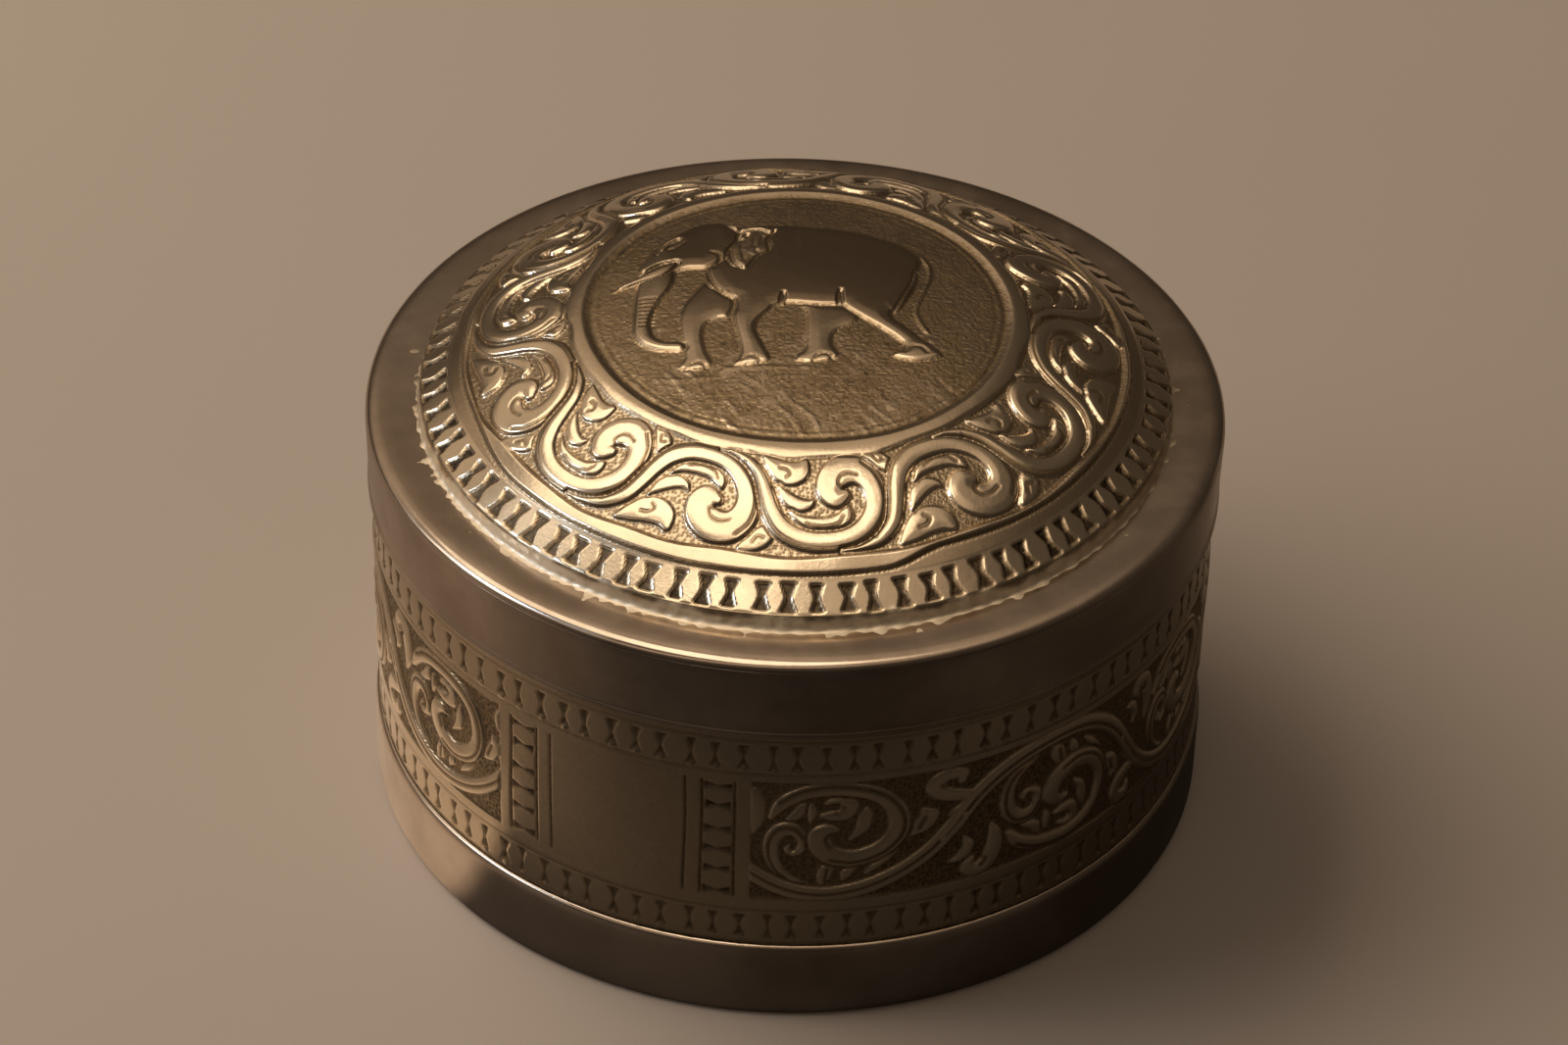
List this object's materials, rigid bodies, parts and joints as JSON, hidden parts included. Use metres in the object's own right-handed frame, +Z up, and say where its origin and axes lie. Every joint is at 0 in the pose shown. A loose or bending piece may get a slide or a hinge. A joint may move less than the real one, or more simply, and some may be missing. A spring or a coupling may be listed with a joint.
{
  "type": "round lidded silver box",
  "caption": "Round chased silver box with a lift-off domed lid that slips over an inner bezel, standing on a plain foot band; holds small keepsakes.",
  "frame": {"origin": "centre of the round foot, in the plane of the table it stands on", "axes": "+Z up along the axis of the box and the way the lid lifts; -Y is the front in the picture, and the chased animal on the lid stands with its feet towards -Y"},
  "size_m": [0.088, 0.088, 0.0581],
  "materials": {
    "plain_silver": "old polished silver, smooth, with a warm brown tarnish and fine scratches",
    "chased_silver": "chased and repousse silver, polished on the high parts, dark oxide in the stippled ground",
    "inner_silver": "plain inside silver, satin and lightly tarnished"
  },
  "bodies": {
    "box": {"body_wall": "chased_silver", "foot_band": "plain_silver", "base_plate": "inner_silver", "inner_bezel": "inner_silver"},
    "lid": {"lid_collar": "plain_silver", "lid_rim": "plain_silver", "lid_panel": "chased_silver"}
  },
  "joints": [
    {"name": "lid_lift", "type": "slide", "parent": "box", "child": "lid", "axis": [0, 0, 1], "range_m": [0, 0.05]}
  ]
}
